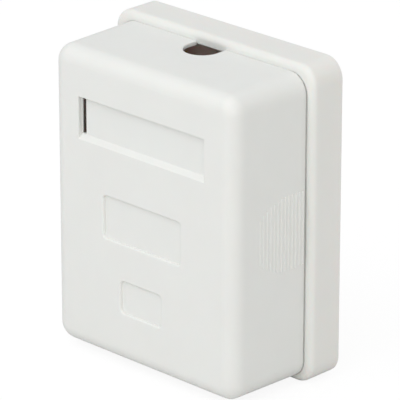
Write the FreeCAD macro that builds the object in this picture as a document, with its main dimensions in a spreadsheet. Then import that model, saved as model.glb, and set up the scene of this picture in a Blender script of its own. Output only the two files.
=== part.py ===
import FreeCAD, Part
import ast
import math
import os
import re
import Sketcher

# Two-port surface mount jack box. Millimetres, +Z up, +Y into the wall.
# The origin is the middle of the tray's height and width on the wall face (y = 0),
# so the box stands forward of the wall along -Y. "Depth" below is the distance
# from the wall, depth = -y.

V = FreeCAD.Vector
os.makedirs("parts", exist_ok=True)
doc = FreeCAD.newDocument("jack_box")

# ---------------------------------------------------------------- driving sizes
SIZES = [
    # tray
    ("base_wide", 65.0, "tray width"),
    ("base_tall", 79.6, "tray height"),
    ("base_corner", 5.0, "tray corner radius"),
    ("base_deep", 9.64, "tray skirt depth"),
    ("base_round", 1.52, "round along the skirt's front edge"),
    ("base_floor", 2.2, "tray back plate"),
    ("well_wide", 59.0, "tray hollow width"),
    ("well_tall", 75.0, "tray hollow height"),
    ("well_corner", 4.4, "tray hollow corner radius"),
    ("shell_z", -0.5, "middle height of cover and tray hollow"),
    ("slot_half", 20.0, "wall slots, half the spacing"),
    ("slot_z", 15.5, "wall slots, height"),
    ("slot_wide", 4.4, "wall slot width"),
    ("slot_long", 8.4, "wall slot end to end"),
    ("catch_half", 6.0, "half length of the catch grooves"),
    ("seam_wide", 0.45, "shadow groove in the skirt's sides, out past the cover's wall"),
    ("seam_deep", 0.3, "shadow groove depth"),
    ("seam_half", 33.5, "shadow groove, half length of its straight run"),
    # cover
    ("cover_wide", 60.2, "cover width at the rear edge"),
    ("cover_tall", 76.3, "cover height at the rear edge"),
    ("cover_corner", 4.9, "cover corner radius"),
    ("cover_rear", 9.72, "depth of the cover's rear edge"),
    ("cover_front", 33.3, "depth of the cover's front face"),
    ("cover_round", 3.9, "round along the cover's front edge"),
    ("cover_draft", 1.1, "cover wall draft, degrees"),
    ("cover_wall", 1.7, "cover side wall"),
    ("cover_face", 2.5, "cover front wall"),
    ("inner_round", 1.8, "round inside the cover's front edge"),
    ("lip_gap", 0.25, "lip to tray hollow, each side"),
    ("lip_long", 2.8, "lip length behind the cover's rear edge"),
    ("bead_high", 0.2, "snap bead height on the lip"),
    ("notch_x", -0.3, "cable notch middle, from the box's middle"),
    ("notch_half", 4.7, "cable notch radius"),
    ("notch_skin", 1.0, "cover wall thickness round the notch"),
    ("notch_thin", 7.8, "half width of the thinned wall round the notch"),
    ("notch_edge", 0.3, "round along the notch's outer edge"),
    ("notch_mid", 12.4, "depth of the cable notch's arc centre"),
    ("label_wide", 41.1, "label recess width"),
    ("label_x", -0.3, "label recess middle, from the box's middle"),
    ("label_low", 15.2, "label recess lower edge"),
    ("label_high", 25.8, "label recess upper edge"),
    ("label_deep", 1.2, "label recess depth"),
    ("tag_wide", 1.3, "label slot width"),
    ("tag_skin", 0.35, "wall left under the recess where the slot is undercut"),
    ("tag_under", 4.0, "undercut behind the slot's outer side"),
    ("recess_edge", 0.2, "round along the label recess's front edges"),
    ("tag_side", 0.2, "label slot to the recess's left wall"),
    ("plate_wide", 25.5, "middle recess width"),
    ("plate_x", -0.15, "middle recess middle, from the box's middle"),
    ("plate_tall", 11.0, "middle recess height"),
    ("plate_z", -2.25, "middle recess middle height"),
    ("plate_corner", 1.0, "middle recess corner radius"),
    ("plate_deep", 0.8, "middle recess depth"),
    ("dot_wide", 13.7, "small recess width"),
    ("dot_tall", 8.4, "small recess height"),
    ("dot_x", -0.5, "small recess middle, from the box's middle"),
    ("dot_z", -21.2, "small recess middle height"),
    ("dot_corner", 1.3, "small recess corner radius"),
    ("dot_deep", 0.7, "small recess depth"),
    ("plate_edge", 0.4, "round along the middle and small recesses' front edges"),
    ("recess_draft", 8.0, "recess wall slope, degrees"),
    ("grip_pitch", 1.167, "thumb grip rib pitch"),
    ("grip_rib", 0.78, "thumb grip rib width"),
    ("grip_high", 0.35, "thumb grip crest height above the wall at the rear edge"),
    ("grip_foot", 0.69, "thumb grip rib height from its root inside the wall"),
    ("grip_slope", 25.0, "thumb grip rib flank slope, degrees"),
    ("grip_lean", 1.9, "lean of the crests, which lets the ribs run out towards the front, degrees"),
    ("grip_mid", 15.0, "thumb grip outline, centre depth"),
    ("grip_z", 0.35, "thumb grip outline, centre height"),
    ("grip_reach", 11.9, "thumb grip outline, half size along the depth"),
    ("grip_half", 9.5, "thumb grip outline, half height"),
    # circuit board
    ("board_back", 5.4, "depth of the board's rear face"),
    ("board_thick", 1.6, "board thickness"),
    ("board_wide", 52.0, "board width"),
    ("board_low", -36.0, "board lower edge"),
    ("board_high", 7.4, "board upper edge"),
    ("board_corner", 1.0, "board corner radius"),
    ("screw_x", 22.5, "upper board screws, from the middle"),
    ("screw_z", 4.2, "upper board screws, height"),
    ("lower_z", -29.0, "lower board screw, height"),
    ("peg_x", 23.4, "locating pegs, from the middle"),
    ("peg_z", -33.0, "locating pegs, height"),
    ("post_rad", 2.9, "board post radius"),
    ("pilot_rad", 1.15, "screw pilot hole radius"),
    ("peg_rad", 1.1, "locating peg radius"),
    ("screw_clear", 1.6, "board screw hole radius"),
    ("head_rad", 2.5, "screw head radius"),
    ("head_high", 1.7, "screw head height"),
    # modular jacks
    ("jack_x", 12.5, "jack middle, from the box's middle"),
    ("jack_wide", 15.4, "jack housing width"),
    ("jack_high", 13.4, "jack housing height above the board"),
    ("jack_long", 17.8, "jack housing length"),
    ("jack_face", -38.3, "height of the jack's mouth"),
    ("jack_gap", 0.4, "gap round the jack in cover and tray"),
    ("mouth_wide", 11.9, "plug opening width"),
    ("mouth_low", 1.9, "plug opening, near side above the board"),
    ("mouth_high", 8.9, "plug opening, far side above the board"),
    ("mouth_deep", 13.6, "plug opening length"),
    ("latch_wide", 6.3, "latch channel width"),
    ("latch_high", 10.5, "latch channel, far side above the board"),
    ("key_wide", 3.4, "latch key width"),
    ("key_high", 11.9, "latch key, far side above the board"),
    ("pin_pitch", 1.016, "contact pitch"),
    ("wire_thick", 0.36, "contact wire thickness"),
    # punch-down blocks
    ("idc_near", 6.1, "inner block middle, from the box's middle"),
    ("idc_far", 18.7, "outer block middle, from the box's middle"),
    ("idc_wide", 8.4, "block width"),
    ("idc_long", 17.0, "block length"),
    ("idc_high", 11.0, "block height above the board"),
    ("idc_z", -7.6, "block middle height"),
    ("idc_pitch", 3.9, "wire slot pitch"),
    ("idc_slot", 1.1, "wire slot width"),
    ("idc_slot_deep", 5.6, "wire slot depth"),
    # cable clamp
    ("clamp_x", 9.8, "clamp pillars, from the middle"),
    ("clamp_z", 23.6, "clamp height"),
    ("pillar_rad", 3.3, "clamp pillar radius"),
    ("pillar_top", 11.6, "depth of the clamp pillars' ends"),
    ("saddle_rad", 5.0, "saddle radius under the cable"),
    ("saddle_mid", 12.9, "depth of the cable's axis"),
    ("strap_thick", 1.6, "clamp strap thickness"),
    ("strap_tall", 7.0, "clamp strap height"),
    ("strap_rad", 3.4, "clamp strap arch inner radius"),
]
sheet = doc.addObject("Spreadsheet::Sheet", "Sizes")
S = {}
for row, (alias, value, note) in enumerate(SIZES, start=1):
    sheet.set("A%d" % row, note)
    sheet.set("B%d" % row, repr(value))
    sheet.setAlias("B%d" % row, alias)
    S[alias] = value
doc.recompute()

WORDS = re.compile(r"[a-z_]{3,}")


def expr(text):
    """An expression on the sheet's cells, from one that names the cells bare."""
    return WORDS.sub(lambda m: "Sizes." + m.group(0) if m.group(0) in S else m.group(0), str(text))


# ---------------------------------------------------------------- sketch helpers
def new_body(label):
    body = doc.addObject("PartDesign::Body", label)
    body.Label = label
    return body


def origin_plane(body, role):
    for feature in body.Origin.OriginFeatures:
        if feature.Role == role:
            return feature
    raise RuntimeError("no plane " + role)


def new_sketch(body, name, role, offset="0"):
    """A sketch on an origin plane, moved along the plane's normal: -Y for XZ_Plane, so the offset is the depth, +X for YZ_Plane and +Z for XY_Plane."""
    sketch = body.newObject("Sketcher::SketchObject", name)
    sketch.AttachmentSupport = [(origin_plane(body, role), "")]
    sketch.MapMode = "FlatFace"
    if offset != "0":
        sketch.setExpression("AttachmentOffset.Base.z", expr(offset))
    return sketch


def pin_point(sketch, geo, pos, along, text):
    """Hold one coordinate of a point at an expression."""
    if text == "0":
        sketch.addConstraint(Sketcher.Constraint("PointOnObject", geo, pos, -2 if along == "DistanceX" else -1))
        return
    now = sketch.getPoint(geo, pos)
    value = now.x if along == "DistanceX" else now.y
    index = sketch.addConstraint(Sketcher.Constraint(along, -1, 1, geo, pos, value))
    sketch.setExpression("Constraints[%d]" % index, expr(text))


def number(text):
    """The value of an expression that names the cells bare."""
    return worked_out(ast.parse(str(text).strip()).body[0].value)


def worked_out(node):
    if isinstance(node, ast.Constant):
        return float(node.value)
    if isinstance(node, ast.Name):
        return S[node.id]
    if isinstance(node, ast.UnaryOp):
        value = worked_out(node.operand)
        return -value if isinstance(node.op, ast.USub) else value
    one, two = worked_out(node.left), worked_out(node.right)
    if isinstance(node.op, ast.Add):
        return one + two
    if isinstance(node.op, ast.Sub):
        return one - two
    return one * two if isinstance(node.op, ast.Mult) else one / two


def rounded(sketch, left, right, low, high, radius):
    """A rectangle with round corners, its sides and radius held by expressions."""
    x0, x1, y0, y1, r = (number(t) for t in (left, right, low, high, radius))
    add = sketch.addGeometry
    top = add(Part.LineSegment(V(x0 + r, y1, 0), V(x1 - r, y1, 0)))
    east = add(Part.LineSegment(V(x1, y1 - r, 0), V(x1, y0 + r, 0)))
    bottom = add(Part.LineSegment(V(x1 - r, y0, 0), V(x0 + r, y0, 0)))
    west = add(Part.LineSegment(V(x0, y0 + r, 0), V(x0, y1 - r, 0)))
    arcs = []
    for cx, cy, a in ((x1 - r, y1 - r, 0), (x1 - r, y0 + r, 270), (x0 + r, y0 + r, 180), (x0 + r, y1 - r, 90)):
        arc = Part.ArcOfCircle(Part.Circle(V(cx, cy, 0), V(0, 0, 1), r), math.radians(a), math.radians(a + 90))
        arcs.append(add(arc))
    con = Sketcher.Constraint
    # arcs run anticlockwise: start and end of each against the lines' ends
    sketch.addConstraint([
        con("Tangent", top, 2, arcs[0], 2), con("Tangent", arcs[0], 1, east, 1),
        con("Tangent", east, 2, arcs[1], 2), con("Tangent", arcs[1], 1, bottom, 1),
        con("Tangent", bottom, 2, arcs[2], 2), con("Tangent", arcs[2], 1, west, 1),
        con("Tangent", west, 2, arcs[3], 2), con("Tangent", arcs[3], 1, top, 1),
        con("Horizontal", top), con("Vertical", west),
        con("Equal", arcs[0], arcs[1]), con("Equal", arcs[0], arcs[2]), con("Equal", arcs[0], arcs[3]),
    ])
    index = sketch.addConstraint(con("Radius", arcs[0], r))
    sketch.setExpression("Constraints[%d]" % index, expr(radius))
    pin_point(sketch, west, 1, "DistanceX", left)
    pin_point(sketch, east, 1, "DistanceX", right)
    pin_point(sketch, bottom, 1, "DistanceY", low)
    pin_point(sketch, top, 1, "DistanceY", high)


def polygon(sketch, points):
    """A closed run of straight lines through points given as pairs of expressions."""
    xy = [V(number(a), number(b), 0) for a, b in points]
    ids = [sketch.addGeometry(Part.LineSegment(xy[i], xy[(i + 1) % len(xy)])) for i in range(len(xy))]
    for i in range(len(ids)):
        sketch.addConstraint(Sketcher.Constraint("Coincident", ids[i], 2, ids[(i + 1) % len(ids)], 1))
    for i, (a, b) in enumerate(points):
        pin_point(sketch, ids[i], 1, "DistanceX", a)
        pin_point(sketch, ids[i], 1, "DistanceY", b)


def circle(sketch, x, y, radius):
    geo = sketch.addGeometry(Part.Circle(V(number(x), number(y), 0), V(0, 0, 1), number(radius)))
    pin_point(sketch, geo, 3, "DistanceX", x)
    pin_point(sketch, geo, 3, "DistanceY", y)
    index = sketch.addConstraint(Sketcher.Constraint("Radius", geo, number(radius)))
    sketch.setExpression("Constraints[%d]" % index, expr(radius))


def long_slot(sketch, x, y, half, radius):
    """A slot along the sketch's first axis: two arcs a distance apart, joined by lines."""
    cx, cy, hx, r = number(x), number(y), number(half), number(radius)
    add = sketch.addGeometry
    right = add(Part.ArcOfCircle(Part.Circle(V(cx + hx, cy, 0), V(0, 0, 1), r), -math.pi / 2, math.pi / 2))
    left = add(Part.ArcOfCircle(Part.Circle(V(cx - hx, cy, 0), V(0, 0, 1), r), math.pi / 2, 3 * math.pi / 2))
    top = add(Part.LineSegment(V(cx + hx, cy + r, 0), V(cx - hx, cy + r, 0)))
    bottom = add(Part.LineSegment(V(cx - hx, cy - r, 0), V(cx + hx, cy - r, 0)))
    con = Sketcher.Constraint
    sketch.addConstraint([
        con("Tangent", right, 2, top, 1), con("Tangent", top, 2, left, 1),
        con("Tangent", left, 2, bottom, 1), con("Tangent", bottom, 2, right, 1),
        con("Equal", right, left),
    ])
    index = sketch.addConstraint(con("Radius", right, r))
    sketch.setExpression("Constraints[%d]" % index, expr(radius))
    pin_point(sketch, right, 3, "DistanceX", "%s + %s" % (x, half))
    pin_point(sketch, left, 3, "DistanceX", "%s - (%s)" % (x, half))
    pin_point(sketch, right, 3, "DistanceY", y)
    pin_point(sketch, left, 3, "DistanceY", y)


def grow(body, kind, sketch, length, reverse=False, taper=None, both=False):
    """A Pad or Pocket whose length is an expression, and a test that it changed the volume the right way."""
    doc.recompute()
    before = body.Shape.Volume if body.Tip and not body.Shape.isNull() else 0.0
    feature = body.newObject("PartDesign::" + kind, sketch.Name + "_" + kind.lower())
    feature.Profile = sketch
    if both:
        feature.SideType = "Symmetric"
    feature.Reversed = reverse
    feature.setExpression("Length", expr(length))
    if taper:
        feature.setExpression("TaperAngle", expr(taper))
    sketch.Visibility = False
    doc.recompute()
    after = body.Shape.Volume
    wrong = after <= before + 0.05 if kind == "Pad" else after >= before - 0.05
    if wrong or "Invalid" in feature.State or "Error" in feature.State:
        raise RuntimeError("%s changed nothing: %.4f to %.4f, %s" % (feature.Name, before, after, feature.State))
    return feature


def round_edges(body, base, radius, keep, kind="Fillet", what="Radius"):
    """A Fillet or Chamfer on the edges of the last feature that keep() picks."""
    names = ["Edge%d" % (i + 1) for i, edge in enumerate(base.Shape.Edges) if keep(edge)]
    if not names:
        raise RuntimeError("no edges to round on " + base.Name)
    feature = body.newObject("PartDesign::" + kind, base.Name + "_" + kind.lower())
    feature.Base = (base, names)
    feature.setExpression(what, expr(radius))
    doc.recompute()
    if "Invalid" in feature.State or "Error" in feature.State:
        raise RuntimeError("%s failed: %s" % (feature.Name, feature.State))
    return feature


def at_depth(value, tol=1e-3):
    """Picks edges that lie wholly at one depth."""
    return lambda edge: abs(edge.BoundBox.YMin + value) < tol and abs(edge.BoundBox.YMax + value) < tol


# ---------------------------------------------------------------- tray
base = new_body("base")
sk = new_sketch(base, "tray_outline", "XZ_Plane")
rounded(sk, "-base_wide / 2", "base_wide / 2", "-base_tall / 2", "base_tall / 2", "base_corner")
pad = grow(base, "Pad", sk, "base_deep")
pad = round_edges(base, pad, "base_round", at_depth(S["base_deep"]))

sk = new_sketch(base, "tray_hollow", "XZ_Plane", "base_floor")
rounded(sk, "-well_wide / 2", "well_wide / 2", "shell_z - well_tall / 2", "shell_z + well_tall / 2", "well_corner")
grow(base, "Pocket", sk, "base_deep - base_floor + 1", reverse=True)

# raised rims round the wall slots
for side, sign in (("left", "-1 *"), ("right", "1 *")):
    sk = new_sketch(base, "slot_rim_" + side, "XZ_Plane", "base_floor")
    long_slot(sk, sign + " slot_half", "slot_z", "(slot_long - slot_wide) / 2", "slot_wide / 2 + 3.0")
    grow(base, "Pad", sk, "0.8")
    sk = new_sketch(base, "wall_slot_" + side, "XZ_Plane", "base_floor + 0.8")
    long_slot(sk, sign + " slot_half", "slot_z", "(slot_long - slot_wide) / 2", "slot_wide / 2")
    grow(base, "Pocket", sk, "base_floor + 1.8")

# board posts, with pilot holes, and two pegs that place the board
sk = new_sketch(base, "board_posts", "XZ_Plane", "base_floor")
for x, z in (("-screw_x", "screw_z"), ("screw_x", "screw_z"), ("0", "lower_z"), ("-peg_x", "peg_z"), ("peg_x", "peg_z")):
    circle(sk, x, z, "post_rad")
grow(base, "Pad", sk, "board_back - base_floor")
sk = new_sketch(base, "board_pegs", "XZ_Plane", "board_back")
for x in ("-peg_x", "peg_x"):
    circle(sk, x, "peg_z", "peg_rad")
peg = grow(base, "Pad", sk, "board_thick + 0.7")
round_edges(base, peg, "0.4", at_depth(S["board_back"] + S["board_thick"] + 0.7), "Chamfer", "Size")
sk = new_sketch(base, "board_pilots", "XZ_Plane", "board_back")
for x, z in (("-screw_x", "screw_z"), ("screw_x", "screw_z"), ("0", "lower_z")):
    circle(sk, x, z, "pilot_rad")
grow(base, "Pocket", sk, "board_back - 0.9")

# cable clamp pillars with a saddle between them
sk = new_sketch(base, "saddle_block", "XZ_Plane", "base_floor")
polygon(sk, [("-clamp_x", "clamp_z - 1.5"), ("clamp_x", "clamp_z - 1.5"), ("clamp_x", "clamp_z + 1.5"), ("-clamp_x", "clamp_z + 1.5")])
grow(base, "Pad", sk, "saddle_mid - 2.4 - base_floor")
for side, x in (("left", "-clamp_x"), ("right", "clamp_x")):
    sk = new_sketch(base, "pillar_" + side, "XZ_Plane", "base_floor")
    circle(sk, x, "clamp_z", "pillar_rad")
    grow(base, "Pad", sk, "pillar_top - base_floor")
sk = new_sketch(base, "saddle_curve", "XY_Plane", "clamp_z")
circle(sk, "0", "-saddle_mid", "saddle_rad")
grow(base, "Pocket", sk, "8", both=True)
sk = new_sketch(base, "clamp_pilots", "XZ_Plane", "pillar_top")
for x in ("-clamp_x", "clamp_x"):
    circle(sk, x, "clamp_z", "pilot_rad")
grow(base, "Pocket", sk, "pillar_top - 2.6")

# cut-outs in the lower wall where the jacks pass
for side, x in (("left", "-jack_x"), ("right", "jack_x")):
    sk = new_sketch(base, "jack_gate_" + side, "XZ_Plane", "board_back + board_thick - jack_gap")
    polygon(sk, [(x + " - jack_wide / 2 - jack_gap", "-base_tall / 2 - 1"), (x + " + jack_wide / 2 + jack_gap", "-base_tall / 2 - 1"),
                 (x + " + jack_wide / 2 + jack_gap", "-base_tall / 2 + 3"), (x + " - jack_wide / 2 - jack_gap", "-base_tall / 2 + 3")])
    grow(base, "Pocket", sk, "base_deep", reverse=True)

# shallow grooves in the side walls that the lip's snap beads sit in
for side, x0, x1 in (("left", "-well_wide / 2 - 0.3", "-well_wide / 2 + 0.5"), ("right", "well_wide / 2 - 0.5", "well_wide / 2 + 0.3")):
    sk = new_sketch(base, "catch_groove_" + side, "XY_Plane", "shell_z")
    polygon(sk, [(x0, "-(cover_rear - lip_long + 1.9)"), (x1, "-(cover_rear - lip_long + 1.9)"), (x1, "-(cover_rear - lip_long + 0.3)"), (x0, "-(cover_rear - lip_long + 0.3)")])
    grow(base, "Pocket", sk, "2 * catch_half + 1", both=True)

# shadow grooves in the skirt's front edge along both sides, beside the cover's walls
for side, x0, x1 in (("left", "-cover_wide / 2 - seam_wide", "-well_wide / 2 + 0.5"), ("right", "well_wide / 2 - 0.5", "cover_wide / 2 + seam_wide")):
    sk = new_sketch(base, "seam_groove_" + side, "XZ_Plane", "base_deep - seam_deep")
    polygon(sk, [(x0, "shell_z - seam_half"), (x1, "shell_z - seam_half"), (x1, "shell_z + seam_half"), (x0, "shell_z + seam_half")])
    grow(base, "Pocket", sk, "seam_deep + 1", reverse=True)

# the grooves run on round the corners and fade out where the top and bottom edges begin
for side, sign in (("left", "-1"), ("right", "1")):
    for end, height in (("top", "shell_z + cover_tall / 2 - cover_corner - 0.2"), ("bottom", "shell_z - cover_tall / 2 + cover_corner + 0.2")):
        sk = new_sketch(base, "seam_corner_" + side + "_" + end, "XZ_Plane", "base_deep - seam_deep")
        circle(sk, sign + " * (cover_wide / 2 - cover_corner + seam_wide - 0.25)", height, "cover_corner + 0.2")
        grow(base, "Pocket", sk, "seam_deep + 1", reverse=True)

# ---------------------------------------------------------------- cover
cover = new_body("cover")
sk = new_sketch(cover, "cover_outline", "XZ_Plane", "cover_rear")
rounded(sk, "-cover_wide / 2", "cover_wide / 2", "shell_z - cover_tall / 2", "shell_z + cover_tall / 2", "cover_corner")
pad = grow(cover, "Pad", sk, "cover_front - cover_rear", taper="-cover_draft")
if pad.Shape.BoundBox.XLength > S["cover_wide"] + 0.01:
    raise RuntimeError("the cover's draft widens it")
pad = round_edges(cover, pad, "cover_round", at_depth(S["cover_front"]))

sk = new_sketch(cover, "cover_hollow", "XZ_Plane", "cover_rear")
rounded(sk, "-cover_wide / 2 + cover_wall", "cover_wide / 2 - cover_wall",
        "shell_z - cover_tall / 2 + cover_wall", "shell_z + cover_tall / 2 - cover_wall", "cover_corner - cover_wall")
hollow = grow(cover, "Pocket", sk, "cover_front - cover_face - cover_rear", reverse=True, taper="-cover_draft")
round_edges(cover, hollow, "inner_round", at_depth(S["cover_front"] - S["cover_face"]))

# the lip that enters the tray, and its snap beads
sk = new_sketch(cover, "lip", "XZ_Plane", "cover_rear")
rounded(sk, "-well_wide / 2 + lip_gap", "well_wide / 2 - lip_gap",
        "shell_z - well_tall / 2 + lip_gap", "shell_z + well_tall / 2 - lip_gap", "well_corner - lip_gap")
rounded(sk, "-cover_wide / 2 + cover_wall", "cover_wide / 2 - cover_wall",
        "shell_z - cover_tall / 2 + cover_wall", "shell_z + cover_tall / 2 - cover_wall", "cover_corner - cover_wall")
grow(cover, "Pad", sk, "lip_long", reverse=True)
for side, edge, tip in (("left", "-well_wide / 2 + lip_gap", "-well_wide / 2 + lip_gap - bead_high"),
                        ("right", "well_wide / 2 - lip_gap", "well_wide / 2 - lip_gap + bead_high")):
    sk = new_sketch(cover, "bead_" + side, "XY_Plane", "shell_z")
    root = edge + (" + 0.3" if side == "left" else " - 0.3")
    polygon(sk, [(root, "-(cover_rear - lip_long + 0.5)"), (edge, "-(cover_rear - lip_long + 0.5)"), (tip, "-(cover_rear - lip_long + 0.9)"),
                 (tip, "-(cover_rear - lip_long + 1.3)"), (edge, "-(cover_rear - lip_long + 1.7)"), (root, "-(cover_rear - lip_long + 1.7)")])
    grow(cover, "Pad", sk, "2 * catch_half", both=True)

# openings in the lower wall where the jacks look out; they run to the rear edge so the cover pulls straight off
for side, x in (("left", "-jack_x"), ("right", "jack_x")):
    sk = new_sketch(cover, "jack_window_" + side, "XZ_Plane", "board_back + board_thick + jack_high + jack_gap")
    polygon(sk, [(x + " - jack_wide / 2 - jack_gap", "shell_z - cover_tall / 2 - 1"), (x + " + jack_wide / 2 + jack_gap", "shell_z - cover_tall / 2 - 1"),
                 (x + " + jack_wide / 2 + jack_gap", "shell_z - cover_tall / 2 + 3.5"), (x + " - jack_wide / 2 - jack_gap", "shell_z - cover_tall / 2 + 3.5")])
    grow(cover, "Pocket", sk, "board_back + board_thick + jack_high + jack_gap - 4")

# the top wall is thinned from inside round the cable notch, and the lip stops short of it
sk = new_sketch(cover, "notch_relief", "XY_Plane", "shell_z + cover_tall / 2 - 4")
rounded(sk, "notch_x - notch_thin", "notch_x + notch_thin", "-notch_mid - notch_half - 2.4", "-cover_rear + 2", "1.5")
grow(cover, "Pocket", sk, "4 - notch_skin", reverse=True)
sk = new_sketch(cover, "lip_break", "XZ_Plane", "cover_rear")
polygon(sk, [("notch_x - notch_thin", "shell_z + cover_tall / 2 - 3.5"), ("notch_x + notch_thin", "shell_z + cover_tall / 2 - 3.5"),
             ("notch_x + notch_thin", "shell_z + cover_tall / 2 + 1"), ("notch_x - notch_thin", "shell_z + cover_tall / 2 + 1")])
grow(cover, "Pocket", sk, "lip_long + 1")

# cable notch: a half circle with straight legs that run out at the rear edge
sk = new_sketch(cover, "notch_round", "XY_Plane", "shell_z + cover_tall / 2 - 4")
circle(sk, "notch_x", "-notch_mid", "notch_half")
grow(cover, "Pocket", sk, "8", reverse=True)
sk = new_sketch(cover, "notch_legs", "XY_Plane", "shell_z + cover_tall / 2 - 4")
polygon(sk, [("notch_x - notch_half", "-notch_mid"), ("notch_x + notch_half", "-notch_mid"), ("notch_x + notch_half", "-cover_rear + lip_long + 1"), ("notch_x - notch_half", "-cover_rear + lip_long + 1")])
notch = grow(cover, "Pocket", sk, "8", reverse=True)


def notch_rim(edge):
    """Picks the edges where the notch's walls meet the top wall's outer face."""
    b = edge.BoundBox
    near = b.XMin > S["notch_x"] - S["notch_half"] - 0.01 and b.XMax < S["notch_x"] + S["notch_half"] + 0.01
    high = b.ZMin > S["shell_z"] + S["cover_tall"] / 2 - 0.3
    return near and high and b.YLength > 0.5 and b.YMin > -S["notch_mid"] - S["notch_half"] - 0.1


round_edges(cover, notch, "notch_edge", notch_rim)

# label recess: square top and ends, 45 degree lower wall
sk = new_sketch(cover, "label_recess", "YZ_Plane", "label_x")
polygon(sk, [("-cover_front - 1", "label_high"), ("-cover_front + label_deep", "label_high"),
             ("-cover_front + label_deep", "label_low + label_deep"), ("-cover_front - 1", "label_low - 1")])
grow(cover, "Pocket", sk, "label_wide", both=True)
# slot through the recess's floor beside its left wall
sk = new_sketch(cover, "label_slot", "XZ_Plane", "cover_front")
side = "label_x - label_wide / 2 + tag_side"
polygon(sk, [(side, "label_low + label_deep + 0.1"), (side + " + tag_wide", "label_low + label_deep + 0.1"),
             (side + " + tag_wide", "label_high - 0.1"), (side, "label_high - 0.1")])
grow(cover, "Pocket", sk, "cover_face + 1")
# behind its outer side the wall is undercut from inside, so a tongue can hook in
sk = new_sketch(cover, "slot_undercut", "XZ_Plane", "cover_front - cover_face - 1")
polygon(sk, [(side + " - tag_under", "label_low + label_deep - 0.4"), (side + " + 0.3", "label_low + label_deep - 0.4"),
             (side + " + 0.3", "label_high + 0.4"), (side + " - tag_under", "label_high + 0.4")])
grow(cover, "Pocket", sk, "cover_face + 1 - label_deep - tag_skin", reverse=True)

# middle and small recesses, walls sloped a little
sk = new_sketch(cover, "plate_recess", "XZ_Plane", "cover_front")
rounded(sk, "plate_x - plate_wide / 2", "plate_x + plate_wide / 2", "plate_z - plate_tall / 2", "plate_z + plate_tall / 2", "plate_corner")
grow(cover, "Pocket", sk, "plate_deep", taper="-recess_draft")
sk = new_sketch(cover, "dot_recess", "XZ_Plane", "cover_front")
rounded(sk, "dot_x - dot_wide / 2", "dot_x + dot_wide / 2", "dot_z - dot_tall / 2", "dot_z + dot_tall / 2", "dot_corner")
small = grow(cover, "Pocket", sk, "dot_deep", taper="-recess_draft")
front_edge = at_depth(S["cover_front"])


def recess_rim(low, high):
    """Picks the edges of the front face that lie inside its border, between two heights."""
    side = S["label_wide"] / 2 - S["label_x"] + 0.01
    return lambda edge: front_edge(edge) and edge.BoundBox.XMin > -side and edge.BoundBox.XMax < side and edge.BoundBox.ZMin > low and edge.BoundBox.ZMax < high


rim = round_edges(cover, small, "plate_edge", recess_rim(-27, 10))
round_edges(cover, rim, "recess_edge", recess_rim(10, 27))

# thumb grips: ribs along the height inside half an oval that the rear edge cuts off.
# Their crests lie in one plane that leans out towards the rear edge, so the ribs run out into the wall at the front.
ribs = []
depth = S["cover_rear"] + 0.70
while depth < S["grip_mid"] + S["grip_reach"] - 1.9:
    part = max(0.0, (depth - S["grip_mid"]) / S["grip_reach"])
    ribs.append((depth, S["grip_half"] * math.sqrt(1 - part * part)))
    depth += S["grip_pitch"]
for side, sign in (("left", -1), ("right", 1)):
    sk = new_sketch(cover, "grip_" + side, "YZ_Plane")
    lean = FreeCAD.Rotation(V(0, 1, 0), -sign * S["grip_lean"])
    # the sketch lies under the crests, inside the wall, and turns about the wall's rear edge
    root = FreeCAD.Placement(V(-S["cover_rear"], 0, sign * (S["cover_wide"] / 2 + S["grip_high"] - S["grip_foot"])), lean)
    sk.AttachmentOffset = root
    sk.setExpression("AttachmentOffset.Base.x", "-Sizes.cover_rear")
    sk.setExpression("AttachmentOffset.Base.z", expr("%d * (cover_wide / 2 + grip_high - grip_foot)" % sign))
    for mid, half in ribs:
        near = "%.4f - cover_rear" % mid
        rounded(sk, "-(%s) - grip_rib / 2" % near, "-(%s) + grip_rib / 2" % near, "grip_z - %.4f" % half, "grip_z + %.4f" % half, "grip_rib / 2 - 0.02")
    grow(cover, "Pad", sk, "grip_foot", reverse=sign < 0, taper="-grip_slope")
    if cover.Shape.BoundBox.XMax > S["base_wide"] / 2 or cover.Shape.BoundBox.XMin < -S["base_wide"] / 2:
        raise RuntimeError("the thumb grip stands out past the tray")

# ---------------------------------------------------------------- plain solids from primitives
PARTS = []


def bind(obj, **kw):
    for key, text in kw.items():
        obj.setExpression(key.replace("__", "."), expr(text))


def block(name, x0, x1, d0, d1, z0, z1):
    """A box between two places on each axis; d0 and d1 are depths."""
    obj = doc.addObject("Part::Box", name)
    obj.setExpression("Length", expr("(%s) - (%s)" % (x1, x0)))
    obj.setExpression("Width", expr("(%s) - (%s)" % (d1, d0)))
    obj.setExpression("Height", expr("(%s) - (%s)" % (z1, z0)))
    obj.setExpression("Placement.Base.x", expr(x0))
    obj.setExpression("Placement.Base.y", expr("-(%s)" % d1))
    obj.setExpression("Placement.Base.z", expr(z0))
    return obj


def rod(name, x, z, d0, d1, radius):
    """A cylinder along the depth."""
    obj = doc.addObject("Part::Cylinder", name)
    obj.Placement = FreeCAD.Placement(V(0, 0, 0), FreeCAD.Rotation(V(1, 0, 0), 90))
    obj.setExpression("Radius", expr(radius))
    obj.setExpression("Height", expr("(%s) - (%s)" % (d1, d0)))
    obj.setExpression("Placement.Base.x", expr(x))
    obj.setExpression("Placement.Base.y", expr("-(%s)" % d0))
    obj.setExpression("Placement.Base.z", expr(z))
    return obj


def cut(name, base_obj, tools):
    doc.recompute()
    before = base_obj.Shape.Volume
    tool = tools[0]
    if len(tools) > 1:
        tool = doc.addObject("Part::MultiFuse", name + "_tools")
        tool.Shapes = tools
    obj = doc.addObject("Part::Cut", name)
    obj.Base, obj.Tool = base_obj, tool
    doc.recompute()
    if not obj.Shape.Volume < before - 1e-6:
        raise RuntimeError(name + " cut nothing")
    return obj


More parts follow.
